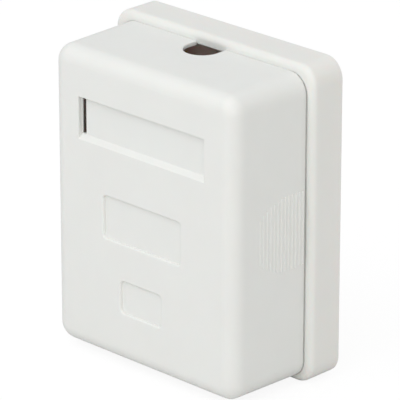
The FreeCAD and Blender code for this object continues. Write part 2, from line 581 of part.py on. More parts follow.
def feature(label, shape):
    """A sub-part whose shape is worked out here from the sheet's sizes."""
    obj = doc.addObject("Part::Feature", label)
    obj.Label = label
    obj.Shape = shape
    obj.Placement = FreeCAD.Placement(V(0, 0, 0), FreeCAD.Rotation())
    PARTS.append(obj)
    return obj


# ---------------------------------------------------------------- wires and tails
FRONT = S["board_back"] + S["board_thick"]   # depth of the board's front face


def ribbon(points, radius, width, thick, x):
    """A flat wire bent in the YZ plane: straight runs joined by tangent arcs, a constant section, centred on x. Points are (depth, z)."""
    pts = [V(x - width / 2, -d, z) for d, z in points]
    edges = []
    start = pts[0]
    for i in range(1, len(pts) - 1):
        a, b, c = pts[i - 1], pts[i], pts[i + 1]
        u = (a - b).normalize()
        w = (c - b).normalize()
        angle = u.getAngle(w)
        reach = radius / math.tan(angle / 2)
        p, q = b + u * reach, b + w * reach
        middle = (u + w).normalize()
        centre = b + middle * (radius / math.sin(angle / 2))
        bow = centre - middle * radius
        edges.append(Part.LineSegment(start, p).toShape())
        edges.append(Part.Arc(p, bow, q).toShape())
        start = q
    edges.append(Part.LineSegment(start, pts[-1]).toShape())
    spine = Part.Wire(edges)
    # the outline is the spine moved half a thickness to each side, closed at the ends
    left = spine.makeOffset2D(thick / 2, join=0, fill=False, openResult=True, intersection=False)
    right = spine.makeOffset2D(-thick / 2, join=0, fill=False, openResult=True, intersection=False)

    a0, a1 = left.OrderedVertexes[0].Point, left.OrderedVertexes[-1].Point
    b0, b1 = right.OrderedVertexes[0].Point, right.OrderedVertexes[-1].Point
    if a0.distanceToPoint(b0) > a0.distanceToPoint(b1):
        b0, b1 = b1, b0
    closing = [Part.LineSegment(a0, b0).toShape(), Part.LineSegment(a1, b1).toShape()]
    outline = Part.Wire(Part.__sortEdges__(left.Edges + right.Edges + closing))
    return Part.Face(outline).extrude(V(width, 0, 0))


def jack_springs(x_mid):
    """Eight spring wires of one jack. Each rises from its tail in the board, runs forward in the carrier's floor, turns back over the carrier's nose and slopes up into the plug's way."""
    solids = []
    face = S["jack_face"]
    for i in range(8):
        x = x_mid + (i - 3.5) * S["pin_pitch"]
        tail_z = face + (13.2 if i % 2 == 0 else 15.74)
        run = FRONT + 1.0
        path = [(FRONT - 3.2, tail_z), (run, tail_z), (run, face + 1.75), (run + 1.6, face + 1.75), (run + 3.5, face + 10.4)]
        solids.append(ribbon(path, 0.42, 0.46, S["wire_thick"], x))
    return solids


def idc_plates(x_mid):
    """Four slotted contacts of one block: a plate with a narrow wire slot between two tines, and one tail through the board."""
    solids = []
    for i in range(4):
        z = S["idc_z"] + (i - 1.5) * S["idc_pitch"]
        top = FRONT + S["idc_high"] - 1.4
        low = FRONT + 0.6
        half = 1.7
        outline = [V(0, -low, z - half), V(0, -top + 0.9, z - half), V(0, -top, z - half + 0.5), V(0, -top, z - 0.75), V(0, -top + 0.9, z - 0.13),
                   V(0, -(FRONT + S["idc_high"] - S["idc_slot_deep"] - 0.6), z - 0.13), V(0, -(FRONT + S["idc_high"] - S["idc_slot_deep"] - 0.6), z + 0.13),
                   V(0, -top + 0.9, z + 0.13), V(0, -top, z + 0.75), V(0, -top, z + half - 0.5), V(0, -top + 0.9, z + half), V(0, -low, z + half),
                   V(0, -low, z + 0.3), V(0, -(FRONT - 3.0), z + 0.3), V(0, -(FRONT - 3.0), z - 0.3), V(0, -low, z - 0.3)]
        face_ = Part.Face(Part.makePolygon(outline + outline[:1]))
        solids.append(face_.extrude(V(0.5, 0, 0)).translated(V(x_mid - 0.25, 0, 0)))
    return solids


JACKS = (("left", "-1 *", -S["jack_x"]), ("right", "1 *", S["jack_x"]))
springs = {}
for side, _, x_mid in JACKS:
    solids = jack_springs(x_mid)
    springs[side] = feature("jack_%s_contacts" % side, Part.makeCompound(solids))

BLOCKS = (("1", "-idc_far", -S["idc_far"]), ("2", "-idc_near", -S["idc_near"]), ("3", "idc_near", S["idc_near"]), ("4", "idc_far", S["idc_far"]))
plates = {}
for tag, _, x_mid in BLOCKS:
    plates[tag] = feature("idc_contacts_" + tag, Part.makeCompound(idc_plates(x_mid)))

# ---------------------------------------------------------------- jack housings and carriers
for side, sign, x_mid in JACKS:
    x = sign + " jack_x"
    front = "(board_back + board_thick)"
    shell = block("jack_%s_block" % side, x + " - jack_wide / 2", x + " + jack_wide / 2", front, front + " + jack_high", "jack_face", "jack_face + jack_long")
    tools = [
        block("jack_%s_mouth" % side, x + " - mouth_wide / 2", x + " + mouth_wide / 2", front + " + mouth_low", front + " + mouth_high", "jack_face - 1", "jack_face + mouth_deep"),
        block("jack_%s_latch" % side, x + " - latch_wide / 2", x + " + latch_wide / 2", front + " + mouth_high - 0.5", front + " + latch_high", "jack_face - 1", "jack_face + mouth_deep"),
        block("jack_%s_key" % side, x + " - key_wide / 2", x + " + key_wide / 2", front + " + latch_high - 0.5", front + " + key_high", "jack_face - 1", "jack_face + mouth_deep - 4"),
        # tunnel from the rear for the contact carrier, open to the board
        block("jack_%s_tunnel" % side, x + " - 5.2", x + " + 5.2", front + " - 1", front + " + mouth_low + 0.3", "jack_face + 0.9", "jack_face + jack_long + 1"),
        block("jack_%s_back" % side, x + " - 5.2", x + " + 5.2", front + " - 1", front + " + 6.2", "jack_face + mouth_deep - 0.5", "jack_face + jack_long + 1"),
    ]
    body_obj = cut("jack_%s_cut" % side, shell, tools)
    # lead-in bevel round the plug opening
    doc.recompute()
    mouth_edges = []
    for i, edge in enumerate(body_obj.Shape.Edges):
        b = edge.BoundBox
        flat = abs(b.ZMin - S["jack_face"]) < 1e-3 and abs(b.ZMax - S["jack_face"]) < 1e-3
        inside = abs(b.XMin - x_mid) < S["mouth_wide"] / 2 + 0.1 and abs(b.XMax - x_mid) < S["mouth_wide"] / 2 + 0.1
        inside = inside and -b.YMax > FRONT + S["mouth_low"] - 0.1 and -b.YMin < FRONT + S["key_high"] + 0.1
        if flat and inside:
            mouth_edges.append((i + 1, 0.35, 0.35))
    bevel = doc.addObject("Part::Chamfer", "jack_%s_bevel" % side)
    bevel.Base = body_obj
    bevel.Edges = mouth_edges
    doc.recompute()
    # stepped outer edges: the housing's long front corners are rounded
    edges = []
    for i, edge in enumerate(bevel.Shape.Edges):
        b = edge.BoundBox
        if abs(b.ZLength - S["jack_long"]) < 1e-3 and abs(-b.YMin - (FRONT + S["jack_high"])) < 1e-3 and abs(b.YLength) < 1e-3:
            edges.append((i + 1, 0.5, 0.5))
    housing = doc.addObject("Part::Fillet", "jack_%s_housing" % side)
    housing.Label = "jack_%s_housing" % side
    housing.Base = bevel
    housing.Edges = edges
    doc.recompute()
    PARTS.append(housing)

    # carrier: a floor with a rounded nose and a thick rear block; the wires lie in it
    floor = block("carrier_%s_floor" % side, x + " - 5.1", x + " + 5.1", front + " + 0.2", front + " + mouth_low + 0.2", "jack_face + 1.3", "jack_face + jack_long - 0.2")
    rear = block("carrier_%s_rear" % side, x + " - 5.1", x + " + 5.1", front + " + 0.2", front + " + 6.1", "jack_face + mouth_deep - 0.4", "jack_face + jack_long - 0.2")
    joined = doc.addObject("Part::MultiFuse", "carrier_%s_joined" % side)
    joined.Shapes = [floor, rear]
    combs = []
    for i in range(7):
        dx = "(%d - 3) * pin_pitch" % i
        combs.append(block("carrier_%s_comb_%d" % (side, i), x + " + %s - 0.17" % dx, x + " + %s + 0.17" % dx,
                           front + " + mouth_low", front + " + 4.6", "jack_face + 10.9", "jack_face + mouth_deep"))
    joined.Shapes = [floor, rear] + combs
    doc.recompute()
    carrier = cut("jack_%s_carrier" % side, joined, [springs[side]])
    carrier.Label = "jack_%s_carrier" % side
    PARTS.append(carrier)

# ---------------------------------------------------------------- punch-down blocks
for tag, x, x_mid in BLOCKS:
    front = "(board_back + board_thick)"
    solid = block("idc_%s_solid" % tag, x + " - idc_wide / 2", x + " + idc_wide / 2", front, front + " + idc_high", "idc_z - idc_long / 2", "idc_z + idc_long / 2")
    tools = [plates[tag]]
    for i in range(4):
        z = "idc_z + (%.1f) * idc_pitch" % (i - 1.5)
        tools.append(block("idc_%s_slot_%d" % (tag, i), x + " - idc_wide / 2 - 1", x + " + idc_wide / 2 + 1", front + " + idc_high - idc_slot_deep", front + " + idc_high + 1",
                           z + " - idc_slot / 2", z + " + idc_slot / 2"))
        # clearance for the contact's tines to spread
        tools.append(block("idc_%s_room_%d" % (tag, i), x + " - 0.55", x + " + 0.55", front + " + idc_high - idc_slot_deep", front + " + idc_high + 1",
                           z + " - 1.8", z + " + 1.8"))
    # the low skirt stands off the board between the tails
    tools.append(block("idc_%s_under" % tag, x + " - idc_wide / 2 + 1", x + " + idc_wide / 2 - 1", front + " - 1", front + " + 0.6", "idc_z - idc_long / 2 + 1", "idc_z + idc_long / 2 - 1"))
    raw = cut("idc_%s_cut" % tag, solid, tools)
    # wedge tops between the slots that guide each wire in
    wedges = []
    for i in range(4):
        zc = S["idc_z"] + (i - 1.5) * S["idc_pitch"]
        top = FRONT + S["idc_high"]
        half = S["idc_slot"] / 2
        tri = Part.Face(Part.makePolygon([V(0, -(top - 1.0), zc - half), V(0, -(top + 0.5), zc - half - 0.95), V(0, -(top + 0.5), zc + half + 0.95), V(0, -(top - 1.0), zc + half), V(0, -(top - 1.0), zc - half)]))
        wedges.append(tri.extrude(V(S["idc_wide"] + 2, 0, 0)).translated(V(x_mid - S["idc_wide"] / 2 - 1, 0, 0)))
    wedge = doc.addObject("Part::Feature", "idc_%s_wedges" % tag)
    wedge.Shape = Part.makeCompound(wedges)
    done = cut("idc_block_" + tag, raw, [wedge])
    done.Label = "idc_block_" + tag
    PARTS.append(done)

# ---------------------------------------------------------------- circuit board
board = new_body("circuit_board")
sk = new_sketch(board, "board_outline", "XZ_Plane", "board_back")
rounded(sk, "-board_wide / 2", "board_wide / 2", "board_low", "board_high", "board_corner")
grow(board, "Pad", sk, "board_thick")
sk = new_sketch(board, "board_holes", "XZ_Plane", "board_back + board_thick")
for x, z in (("-screw_x", "screw_z"), ("screw_x", "screw_z"), ("0", "lower_z")):
    circle(sk, x, z, "screw_clear")
for x in ("-peg_x", "peg_x"):
    circle(sk, x, "peg_z", "peg_rad + 0.1")
grow(board, "Pocket", sk, "board_thick + 1")
sk = new_sketch(board, "tail_holes", "XZ_Plane", "board_back + board_thick")
for _, sign, _ in JACKS:
    for i in range(8):
        circle(sk, "%s jack_x + (%.1f) * pin_pitch" % (sign, i - 3.5), "jack_face + %s" % ("13.2" if i % 2 == 0 else "15.74"), "0.4")
for _, x, _ in BLOCKS:
    for i in range(4):
        circle(sk, x, "idc_z + (%.1f) * idc_pitch" % (i - 1.5), "0.5")
grow(board, "Pocket", sk, "board_thick + 1")

# ---------------------------------------------------------------- screws
def self_tapper(x, z, seat, length):
    """A pan head screw along the depth: domed head with a cross recess, plain shank of the thread's core size, pointed end."""
    r, h = S["head_rad"], S["head_high"]
    core = S["pilot_rad"]
    arc = Part.Arc(V(r, h * 0.45, 0), V(r * 0.72, h * 0.84, 0), V(0, h, 0))
    profile = Part.Wire([Part.LineSegment(V(0, 0, 0), V(r, 0, 0)).toShape(), Part.LineSegment(V(r, 0, 0), V(r, h * 0.45, 0)).toShape(),
                         arc.toShape(), Part.LineSegment(V(0, h, 0), V(0, 0, 0)).toShape()])
    head = Part.Face(profile).revolve(V(0, 0, 0), V(0, 1, 0), 360)
    # the profile's height runs along +Y: turn it to face the front
    head.rotate(V(0, 0, 0), V(0, 0, 1), 180)
    head.translate(V(x, -seat, z))
    shank = Part.makeCylinder(core, length - 1.0, V(x, -seat, z), V(0, 1, 0))
    tip = Part.makeCone(core, 0.25, 1.0, V(x, -seat + length - 1.0, z), V(0, 1, 0))
    screw = head.fuse([shank, tip]).removeSplitter()
    for angle in (0, 90):
        slot = Part.makeBox(3.0, 1.1, 0.62, V(-1.5, -0.55, -0.31))
        slot.rotate(V(0, 0, 0), V(0, 1, 0), angle + 45)
        slot.translate(V(x, -(seat + h), z))
        screw = screw.cut(slot)
    return screw


screws = [self_tapper(x, z, FRONT, 5.6) for x, z in ((-S["screw_x"], S["screw_z"]), (S["screw_x"], S["screw_z"]), (0, S["lower_z"]))]
feature("board_screws", Part.makeCompound(screws))

# ---------------------------------------------------------------- cable clamp strap
seat = S["pillar_top"]
thick = S["strap_thick"]
rise = S["strap_rad"]
half = S["clamp_x"] + 3.6
outer = rise + thick
strap_profile = Part.Wire([
    Part.LineSegment(V(-half, -seat, 0), V(-rise, -seat, 0)).toShape(),
    Part.Arc(V(-rise, -seat, 0), V(0, -seat - rise, 0), V(rise, -seat, 0)).toShape(),
    Part.LineSegment(V(rise, -seat, 0), V(half, -seat, 0)).toShape(),
    Part.LineSegment(V(half, -seat, 0), V(half, -seat - thick, 0)).toShape(),
    Part.LineSegment(V(half, -seat - thick, 0), V(math.sqrt(outer ** 2 - thick ** 2), -seat - thick, 0)).toShape(),
    Part.Arc(V(math.sqrt(outer ** 2 - thick ** 2), -seat - thick, 0), V(0, -seat - outer, 0), V(-math.sqrt(outer ** 2 - thick ** 2), -seat - thick, 0)).toShape(),
    Part.LineSegment(V(-math.sqrt(outer ** 2 - thick ** 2), -seat - thick, 0), V(-half, -seat - thick, 0)).toShape(),
    Part.LineSegment(V(-half, -seat - thick, 0), V(-half, -seat, 0)).toShape(),
])
strap = Part.Face(strap_profile).extrude(V(0, 0, S["strap_tall"])).translated(V(0, 0, S["clamp_z"] - S["strap_tall"] / 2))
for x in (-S["clamp_x"], S["clamp_x"]):
    strap = strap.cut(Part.makeCylinder(1.6, thick + 2, V(x, -seat + 1, S["clamp_z"]), V(0, -1, 0)))
ends = [e for e in strap.Edges if abs(e.BoundBox.XMin) > half - 0.01 and e.BoundBox.YLength > thick - 0.01 and e.BoundBox.ZLength < 1e-3]
strap = strap.makeFillet(1.4, ends)
feature("cable_clamp", strap)
feature("clamp_screws", Part.makeCompound([self_tapper(x, S["clamp_z"], seat + thick, 8.2) for x in (-S["clamp_x"], S["clamp_x"])]))

# ---------------------------------------------------------------- checks and export
doc.recompute()
for obj in doc.Objects:
    if "Invalid" in obj.State or "Error" in obj.State:
        raise RuntimeError("%s did not compute: %s" % (obj.Label, obj.State))
for obj in [base, cover, board] + PARTS:
    shape = obj.Shape
    if shape.isNull() or not shape.isValid() or not shape.Solids:
        raise RuntimeError(obj.Label + " has no valid shape")
    print("%-22s %2d solids %9.2f mm3  %s" % (obj.Label, len(shape.Solids), shape.Volume, shape.BoundBox))
for obj in [base, cover, board] + PARTS:
    obj.Shape.exportStep("parts/%s.step" % obj.Label)
print("parts written:", len(PARTS) + 3)
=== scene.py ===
import math

import bpy
import bmesh
from mathutils import Matrix, Vector


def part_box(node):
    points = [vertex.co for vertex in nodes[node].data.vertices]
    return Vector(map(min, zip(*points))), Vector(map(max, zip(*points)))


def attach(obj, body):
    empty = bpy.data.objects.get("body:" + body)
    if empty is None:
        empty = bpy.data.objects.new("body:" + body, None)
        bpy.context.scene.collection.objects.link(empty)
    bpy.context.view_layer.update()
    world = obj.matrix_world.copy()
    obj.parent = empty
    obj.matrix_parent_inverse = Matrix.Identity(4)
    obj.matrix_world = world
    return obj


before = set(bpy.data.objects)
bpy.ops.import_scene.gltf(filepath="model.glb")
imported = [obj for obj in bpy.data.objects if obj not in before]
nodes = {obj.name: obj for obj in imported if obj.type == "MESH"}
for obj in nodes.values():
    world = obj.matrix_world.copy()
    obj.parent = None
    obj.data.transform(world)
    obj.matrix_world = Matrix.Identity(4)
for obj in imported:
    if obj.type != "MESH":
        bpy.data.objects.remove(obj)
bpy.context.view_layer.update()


scene = bpy.context.scene
MM = 0.001

# ------------------------------------------------------------------ camera
# A long lens turned 44.3 degrees round the box and 21.5 degrees down on it.
TURN, TILT = 0.77323, 0.37590
LENS_PX = 4.1760 * 888.73
RIGHT = Vector((math.cos(TURN), math.sin(TURN), 0))
FORWARD = Vector((-math.sin(TURN) * math.cos(TILT), math.cos(TURN) * math.cos(TILT), -math.sin(TILT)))
UP = RIGHT.cross(FORWARD)
camera = bpy.data.objects.new("camera", bpy.data.cameras.new("camera"))
camera.data.sensor_width = 36.0
camera.data.lens = LENS_PX * 36.0 / 400.0
camera.data.clip_start, camera.data.clip_end = 0.02, 20.0
place = (RIGHT * -9.5848 + UP * -3.6877 + FORWARD * -888.73) * MM
camera.matrix_world = Matrix((
    (RIGHT.x, UP.x, -FORWARD.x, place.x),
    (RIGHT.y, UP.y, -FORWARD.y, place.y),
    (RIGHT.z, UP.z, -FORWARD.z, place.z),
    (0, 0, 0, 1)))
scene.collection.objects.link(camera)
scene.camera = camera

# ------------------------------------------------------------------ picture settings
scene.view_settings.view_transform = "Standard"
scene.view_settings.look = "None"
scene.view_settings.exposure = 0.0
scene.view_settings.gamma = 1.0


# ------------------------------------------------------------------ material helpers
class Tree:
    """A small helper that adds nodes to a material and joins them."""

    def __init__(self, name, colour=(0.8, 0.8, 0.8)):
        self.mat = bpy.data.materials.new(name)
        self.mat.use_nodes = True
        self.mat.diffuse_color = (*colour, 1.0)
        self.tree = self.mat.node_tree
        self.tree.nodes.clear()
        self.out = self.tree.nodes.new("ShaderNodeOutputMaterial")
        self.shader = self.tree.nodes.new("ShaderNodeBsdfPrincipled")
        self.join(self.shader, "BSDF", self.out, "Surface")
        self.where = self.tree.nodes.new("ShaderNodeTexCoord")

    def node(self, kind, **values):
        made = self.tree.nodes.new("ShaderNode" + kind)
        for key, value in values.items():
            if key in made.inputs:
                made.inputs[key].default_value = value
            else:
                setattr(made, key, value)
        return made

    def join(self, a, out, b, into):
        self.tree.links.new(a.outputs[out], b.inputs[into])

    def noise(self, scale, detail=2.0, rough=0.5, stretch=None):
        made = self.node("TexNoise")
        made.inputs["Scale"].default_value = scale
        made.inputs["Detail"].default_value = detail
        made.inputs["Roughness"].default_value = rough
        if stretch is None:
            self.join(self.where, "Object", made, "Vector")
        else:
            squeeze = self.node("Mapping")
            squeeze.inputs["Scale"].default_value = stretch
            self.join(self.where, "Object", squeeze, "Vector")
            self.join(squeeze, "Vector", made, "Vector")
        return made

    def ramp(self, source, out, stops):
        made = self.node("ValToRGB")
        while len(made.color_ramp.elements) < len(stops):
            made.color_ramp.elements.new(0.5)
        for element, (at, colour) in zip(made.color_ramp.elements, stops):
            element.position = at
            element.color = colour if len(colour) == 4 else (*colour, 1.0)
        self.join(source, out, made, "Fac")
        return made

    def spread(self, source, out, low, high, from_low=0.0, from_high=1.0):
        made = self.node("MapRange")
        made.inputs["From Min"].default_value = from_low
        made.inputs["From Max"].default_value = from_high
        made.inputs["To Min"].default_value = low
        made.inputs["To Max"].default_value = high
        self.join(source, out, made, "Value")
        return made

    def bump(self, source, out, distance, strength=1.0, before=None):
        made = self.node("Bump")
        made.inputs["Distance"].default_value = distance
        made.inputs["Strength"].default_value = strength
        self.join(source, out, made, "Height")
        if before is not None:
            self.join(before, "Normal", made, "Normal")
        self.join(made, "Normal", self.shader, "Normal")
        return made


def plastic(name, low, high, rough=(0.40, 0.52), grain=0.00022, grain_high=0.000006, specular=0.5, sheen_patch=0.010, sub=0.0, sawn=None):
    """Moulded plastic: slow cloudy colour change, fine spark-eroded grain, and gloss that wanders a little."""
    t = Tree(name, low)
    cloud = t.noise(1.0 / sheen_patch, 3.0, 0.55)
    colour = t.ramp(cloud, "Fac", [(0.30, low), (0.70, high)])
    if sawn is None:
        t.join(colour, "Color", t.shader, "Base Color")
    else:
        # the sawn edges, which face neither the front nor the back, show the bare laminate in thin layers
        facing = t.node("SeparateXYZ")
        t.join(t.where, "Normal", facing, 0)
        flat = t.node("Math", operation="ABSOLUTE")
        t.join(facing, "Y", flat, 0)
        layer = t.noise(900.0, 2.0, 0.6, stretch=(0.2, 9.0, 0.2))
        bare = t.ramp(layer, "Fac", [(0.35, sawn), (0.65, tuple(v * 0.78 for v in sawn))])
        step = t.spread(flat, "Value", 0.0, 1.0, 0.45, 0.55)
        both = t.node("Mix", data_type="RGBA")
        t.tree.links.new(step.outputs["Result"], both.inputs[0])
        t.tree.links.new(bare.outputs["Color"], both.inputs[6])
        t.tree.links.new(colour.outputs["Color"], both.inputs[7])
        t.tree.links.new(both.outputs[2], t.shader.inputs["Base Color"])
    fine = t.noise(1.0 / grain, 2.0, 0.6)
    wear = t.noise(1.0 / (sheen_patch * 0.35), 4.0, 0.6)
    gloss = t.spread(wear, "Fac", rough[0], rough[1], 0.3, 0.7)
    t.join(gloss, "Result", t.shader, "Roughness")
    t.bump(fine, "Fac", grain_high)
    t.shader.inputs["IOR"].default_value = 1.5
    t.shader.inputs["Specular IOR Level"].default_value = specular
    if sub:
        t.shader.inputs["Subsurface Weight"].default_value = sub
        t.shader.inputs["Subsurface Radius"].default_value = (1.0, 0.28, 0.18)
        t.shader.inputs["Subsurface Scale"].default_value = 0.008
    return t.mat


def metal(name, low, high, rough=(0.22, 0.38), lay=(1.0, 1.0, 1.0), scale=2500.0, high_mm=0.002):
    """Bare or plated metal with fine drawn lines and uneven gloss."""
    t = Tree(name, low)
    t.shader.inputs["Metallic"].default_value = 1.0
    patch = t.noise(350.0, 3.0, 0.6)
    colour = t.ramp(patch, "Fac", [(0.30, low), (0.72, high)])
    t.join(colour, "Color", t.shader, "Base Color")
    lines = t.noise(scale, 2.0, 0.6, stretch=lay)
    gloss = t.spread(lines, "Fac", rough[0], rough[1], 0.3, 0.7)
    t.join(gloss, "Result", t.shader, "Roughness")
    t.bump(lines, "Fac", high_mm * MM)
    return t.mat


def dress(node, material):
    slots = nodes[node].data.materials
    if not len(slots):
        slots.append(material)
    for i in range(len(slots)):
        slots[i] = material


white_cover = plastic("cover_white", (0.815, 0.812, 0.786), (0.828, 0.826, 0.800), sub=0.05)
white_tray = plastic("tray_white", (0.824, 0.810, 0.779), (0.835, 0.823, 0.791), sub=0.15)
ivory = plastic("block_ivory", (0.62, 0.60, 0.52), (0.66, 0.64, 0.57), rough=(0.34, 0.46), grain=0.00015)
nylon = plastic("clamp_nylon", (0.70, 0.69, 0.64), (0.74, 0.73, 0.69), rough=(0.38, 0.5), grain=0.00018)
black = plastic("jack_black", (0.012, 0.012, 0.013), (0.022, 0.022, 0.023), rough=(0.32, 0.45), grain=0.00015)
carrier_black = plastic("carrier_black", (0.016, 0.016, 0.017), (0.026, 0.026, 0.027), rough=(0.38, 0.5), grain=0.00015)
green = plastic("board_green", (0.010, 0.085, 0.030), (0.016, 0.110, 0.040), rough=(0.22, 0.34), grain=0.0004, grain_high=0.000004, sawn=(0.36, 0.33, 0.17))
gold = metal("contact_gold", (0.83, 0.60, 0.26), (0.90, 0.69, 0.34), rough=(0.16, 0.30))
tin = metal("contact_tin", (0.62, 0.61, 0.58), (0.72, 0.71, 0.69), rough=(0.28, 0.42))
zinc = metal("screw_zinc", (0.55, 0.56, 0.58), (0.68, 0.69, 0.71), rough=(0.24, 0.40))

dress("cover", white_cover)
dress("base", white_tray)
dress("circuit_board", green)
for side in ("left", "right"):
    dress("jack_%s_housing" % side, black)
    dress("jack_%s_carrier" % side, carrier_black)
    dress("jack_%s_contacts" % side, gold)
for tag in "1234":
    dress("idc_block_" + tag, ivory)
    dress("idc_contacts_" + tag, tin)
dress("board_screws", zinc)
dress("clamp_screws", zinc)
dress("cable_clamp", nylon)

# ------------------------------------------------------------------ tracks, print and rings on the board's front
BOARD_LOW, BOARD_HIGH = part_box("circuit_board")
FRONT = BOARD_LOW.y                     # the board's front face; further forward is smaller y
BLOCK = {tag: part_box("idc_block_" + tag) for tag in "1234"}
JACK = {side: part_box("jack_%s_housing" % side) for side in ("left", "right")}
PITCH, WIRE = 3.9 * MM, 1.016 * MM      # wire slots, jack contacts


def mid_of(box):
    return (box[0] + box[1]) / 2


def sides_of(path, width, closed):
    """The two edges of a line of one width along a path of (x, z) points, mitred at its corners."""
    left, right = [], []
    for i, here in enumerate(path):
        before = path[i - 1] if closed or i else None
        after = path[(i + 1) % len(path)] if closed or i + 1 < len(path) else None
        one = (here - before).normalized() if before is not None else (after - here).normalized()
        two = (after - here).normalized() if after is not None else one
        across = Vector((-(one + two).y, (one + two).x)).normalized()
        reach = width / 2 / max(0.3, across.dot(Vector((-one.y, one.x))))
        left.append(here + across * reach)
        right.append(here - across * reach)
    return left, right


def band(bm, a, b, closed, back, front, slot=0):
    """A flat closed solid between two matching rows of (x, z) points and two places on y."""
    rows = [[bm.verts.new((p.x, y, p.y)) for p in row] for y in (back, front) for row in (a, b)]
    ab, bb, af, bf = rows
    n = len(a)
    faces = []
    for i in range(n if closed else n - 1):
        j = (i + 1) % n
        faces += [(af[i], af[j], bf[j], bf[i]), (ab[i], bb[i], bb[j], ab[j]), (ab[i], ab[j], af[j], af[i]), (bb[i], bf[i], bf[j], bb[j])]
    if not closed:
        faces += [(ab[0], af[0], bf[0], bb[0]), (ab[-1], bb[-1], bf[-1], af[-1])]
    for corners in faces:
        bm.faces.new(corners).material_index = slot


def line(bm, points, width, back, front, closed=False, slot=0):
    path = [Vector(p) for p in points]
    a, b = sides_of(path, width, closed)
    band(bm, a, b, closed, back, front, slot)


def ring(bm, x, z, inner, outer, back, front, steps=36, slot=0):
    turn = [Vector((math.cos(a), math.sin(a))) for a in (2 * math.pi * i / steps for i in range(steps))]
    at = Vector((x, z))
    band(bm, [at + t * outer for t in turn], [at + t * inner for t in turn], True, back, front, slot)


def piece_of(name, bm, materials):
    bmesh.ops.recalc_face_normals(bm, faces=bm.faces[:])
    mesh = bpy.data.meshes.new(name)
    bm.to_mesh(mesh)
    bm.free()
    obj = bpy.data.objects.new(name, mesh)
    scene.collection.objects.link(obj)
    for material in materials:
        mesh.materials.append(material)
    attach(obj, "tray")
    return obj


# copper tracks under the solder mask, from each block down to its jack
track_top = BLOCK["1"][0].z
track_low = JACK["left"][1].z
bm = bmesh.new()
for sign in (-1, 1):
    jack_mid = abs(mid_of(JACK["right"]).x)
    for block, first, step in (("4", 0, 1), ("3", 7, -1)):
        middle = abs(mid_of(BLOCK[block]).x)
        inward = -1 if block == "4" else 1
        for k in range(4):
            start = middle + inward * (1.0 + 0.9 * k) * MM
            end = jack_mid + inward * -(3.5 - k) * WIRE
            drop = abs(start - end)
            high = (track_top + track_low) / 2 + drop / 2
            line(bm, [(sign * start, track_top + 0.8 * MM), (sign * start, high), (sign * end, high - drop), (sign * end, track_low - 0.8 * MM)],
                 0.42 * MM, FRONT + 0.02 * MM, FRONT - 0.035 * MM)
    # earth tracks round the board's upper corners
    edge_x, edge_z = BOARD_HIGH.x - 0.9 * MM, BOARD_HIGH.z - 0.9 * MM
    line(bm, [(sign * 1.2 * MM, edge_z), (sign * (edge_x - 1.2 * MM), edge_z), (sign * edge_x, edge_z - 1.2 * MM), (sign * edge_x, track_top), (sign * (edge_x - 1.6 * MM), track_top - 1.6 * MM)],
         0.6 * MM, FRONT + 0.02 * MM, FRONT - 0.035 * MM)
    for x, z in ((3.6, 3.0), (8.0, 5.0), (14.0, 3.4)):
        line(bm, [(sign * x * MM, edge_z), (sign * x * MM, z * MM), (sign * (x + 1.4) * MM, (z - 1.4) * MM), (sign * (x + 1.4) * MM, BLOCK["3"][1].z - 0.5 * MM)],
             0.42 * MM, FRONT + 0.02 * MM, FRONT - 0.035 * MM)
mask_over_copper = plastic("mask_over_copper", (0.018, 0.135, 0.050), (0.026, 0.165, 0.062), rough=(0.20, 0.32), grain=0.0004, grain_high=0.000003)
piece_of("board_tracks", bm, [mask_over_copper])

# tinned rings round the screw holes and the small plated holes
bm = bmesh.new()
for x, z in ((-22.5, 4.2), (22.5, 4.2), (0.0, -29.0)):
    ring(bm, x * MM, z * MM, 1.68 * MM, 3.15 * MM, FRONT + 0.02 * MM, FRONT - 0.04 * MM, 48)
for sign in (-1, 1):
    for x, z in ((3.6, 3.0), (8.0, 5.0), (14.0, 3.4), (1.2, 6.5)):
        ring(bm, sign * x * MM, z * MM, 0.16 * MM, 0.42 * MM, FRONT + 0.02 * MM, FRONT - 0.05 * MM, 20)
piece_of("board_rings", bm, [tin])

# white printed outlines round the blocks and jacks, and their first-pin marks
print_white = plastic("board_print_white", (0.70, 0.70, 0.67), (0.76, 0.76, 0.73), rough=(0.5, 0.62), grain=0.00012, grain_high=0.000004)
PRINT_BACK, PRINT_FRONT = FRONT + 0.01 * MM, FRONT - 0.05 * MM
bm = bmesh.new()
for tag in "1234":
    low, high = BLOCK[tag]
    m = 0.45 * MM
    corners = [(low.x - m, low.z - m), (high.x + m, low.z - m), (high.x + m, high.z + m), (low.x - m, high.z + m)]
    line(bm, corners, 0.18 * MM, PRINT_BACK, PRINT_FRONT, closed=True)
    line(bm, [(low.x - m, high.z + 1.7 * MM), (low.x + 1.2 * MM, high.z + 1.7 * MM)], 0.5 * MM, PRINT_BACK, PRINT_FRONT)
for side in ("left", "right"):
    low, high = JACK[side]
    m = 0.5 * MM
    line(bm, [(low.x - m, BOARD_LOW.z + 0.3 * MM), (low.x - m, high.z + m), (high.x + m, high.z + m), (high.x + m, BOARD_LOW.z + 0.3 * MM)],
         0.18 * MM, PRINT_BACK, PRINT_FRONT)
for sign in (-1, 1):
    for dz in (0.0, 1.0, 2.0):
        line(bm, [(sign * 0.5 * MM, (-6.0 - dz * 2.4) * MM), (sign * 1.2 * MM, (-6.0 - dz * 2.4) * MM)], 0.5 * MM, PRINT_BACK, PRINT_FRONT)
for x, z in ((-22.5, 4.2), (22.5, 4.2), (0.0, -29.0)):
    ring(bm, x * MM, z * MM, 3.3 * MM, 3.46 * MM, PRINT_BACK, PRINT_FRONT, 48)
piece_of("board_print", bm, [print_white])

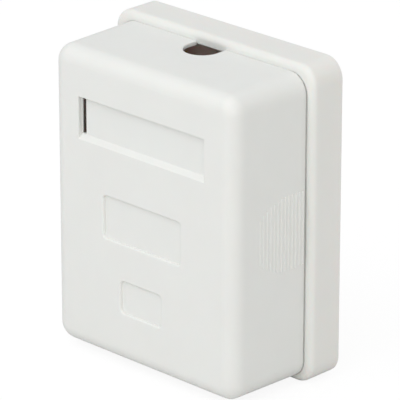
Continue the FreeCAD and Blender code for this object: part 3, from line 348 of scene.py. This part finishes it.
# wire colour fields beside the slots: the four pairs of a cable
FIELDS = {"white": (0.72, 0.72, 0.69), "blue": (0.035, 0.115, 0.42), "orange": (0.78, 0.22, 0.03), "green": (0.03, 0.26, 0.07), "brown": (0.17, 0.075, 0.03)}
inks = {}
for colour, low in FIELDS.items():
    inks[colour] = plastic("ink_" + colour, low, tuple(min(1.0, v * 1.14 + 0.004) for v in low), rough=(0.42, 0.55), grain=0.00014, grain_high=0.000003)
order = list(FIELDS)
bm = bmesh.new()
for sign in (-1, 1):
    inner, outer = ("2", "1") if sign < 0 else ("3", "4")
    gap_low = abs(BLOCK[inner][0 if sign < 0 else 1].x)
    gap_high = abs(BLOCK[outer][1 if sign < 0 else 0].x)
    for column, pair in ((gap_high - 1.25 * MM, ("blue", "orange")), (gap_low + 1.25 * MM, ("green", "brown"))):
        for row in range(4):
            z = mid_of(BLOCK[inner]).z + (1.5 - row) * PITCH
            colour = pair[row // 2]
            tops = ("white", colour) if row % 2 == 0 else (colour, colour)
            for part, ink in enumerate(tops):
                z0 = z + (0.62 - part * 1.24) * MM
                line(bm, [(sign * column, z0 + 0.61 * MM), (sign * column, z0 - 0.61 * MM)], 1.35 * MM, PRINT_BACK, FRONT - 0.06 * MM, slot=order.index(ink))
piece_of("wire_code_fields", bm, [inks[c] for c in order])

# ------------------------------------------------------------------ floor, light and surroundings
FLOOR_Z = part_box("base")[0].z


def sheet_of(name, half, z):
    mesh = bpy.data.meshes.new(name)
    mesh.from_pydata([(-half, -half, z), (half, -half, z), (half, half, z), (-half, half, z)], [], [(0, 1, 2, 3)])
    obj = bpy.data.objects.new(name, mesh)
    scene.collection.objects.link(obj)
    return obj


floor = sheet_of("floor", 6.0, FLOOR_Z - 0.00002)
t = Tree("floor_paper", (0.9, 0.9, 0.9))
speck = t.noise(60.0, 3.0)
tone = t.ramp(speck, "Fac", [(0.3, (0.74, 0.74, 0.74)), (0.7, (0.76, 0.76, 0.76))])
t.join(tone, "Color", t.shader, "Base Color")
t.shader.inputs["Roughness"].default_value = 0.9
t.shader.inputs["Specular IOR Level"].default_value = 0.0
glow = t.node("Emission")
glow.inputs["Color"].default_value = (1.0, 1.0, 1.0, 1.0)
glow.inputs["Strength"].default_value = 0.89
add = t.node("AddShader")
seen = t.node("LightPath")
either = t.node("MixShader")
dim = t.node("BsdfDiffuse")
dim.inputs["Color"].default_value = (0.13, 0.13, 0.13, 1.0)
t.join(seen, "Is Camera Ray", either, 0)
t.join(t.shader, "BSDF", either, 1)
t.join(dim, "BSDF", add, 0)
t.join(glow, "Emission", add, 1)
t.join(add, "Shader", either, 2)
t.join(either, "Shader", t.out, "Surface")
floor.data.materials.append(t.mat)

world = bpy.data.worlds.new("surroundings")
scene.world = world
world.use_nodes = True
wt = world.node_tree
wt.nodes.clear()
sky = wt.nodes.new("ShaderNodeBackground")
sky.inputs["Color"].default_value = (1.0, 1.0, 1.0, 1.0)
# the surroundings are a little brighter overhead than round the sides
toward = wt.nodes.new("ShaderNodeTexCoord")
parts = wt.nodes.new("ShaderNodeSeparateXYZ")
fade = wt.nodes.new("ShaderNodeMapRange")
for field, value in (("From Min", 0.0), ("From Max", 1.0), ("To Min", 0.56), ("To Max", 0.75)):
    fade.inputs[field].default_value = value
wt.links.new(toward.outputs["Generated"], parts.inputs[0])
wt.links.new(parts.outputs["Z"], fade.inputs["Value"])
wt.links.new(fade.outputs["Result"], sky.inputs["Strength"])
back = wt.nodes.new("ShaderNodeBackground")
back.inputs["Color"].default_value = (1.0, 1.0, 1.0, 1.0)
back.inputs["Strength"].default_value = 1.05
seen = wt.nodes.new("ShaderNodeLightPath")
both = wt.nodes.new("ShaderNodeMixShader")
end = wt.nodes.new("ShaderNodeOutputWorld")
wt.links.new(seen.outputs["Is Camera Ray"], both.inputs[0])
wt.links.new(sky.outputs[0], both.inputs[1])
wt.links.new(back.outputs[0], both.inputs[2])
wt.links.new(both.outputs[0], end.inputs["Surface"])


def area_light(name, at, size, power, colour=(1.0, 1.0, 1.0), aim=(0, 0, 0)):
    data = bpy.data.lights.new(name, "AREA")
    data.shape = "DISK"
    data.size = size
    data.energy = power
    data.color = colour
    obj = bpy.data.objects.new(name, data)
    scene.collection.objects.link(obj)
    at, aim = Vector(at), Vector(aim)
    obj.matrix_world = Matrix.Translation(at) @ (aim - at).to_track_quat("-Z", "Y").to_matrix().to_4x4()
    return obj


area_light("key", (-0.08, -0.86, 1.10), 1.3, 6.4, (0.965, 1.0, 1.035))
area_light("fill", (1.05, -1.05, 0.40), 0.8, 4.1, (1.03, 1.0, 0.93))
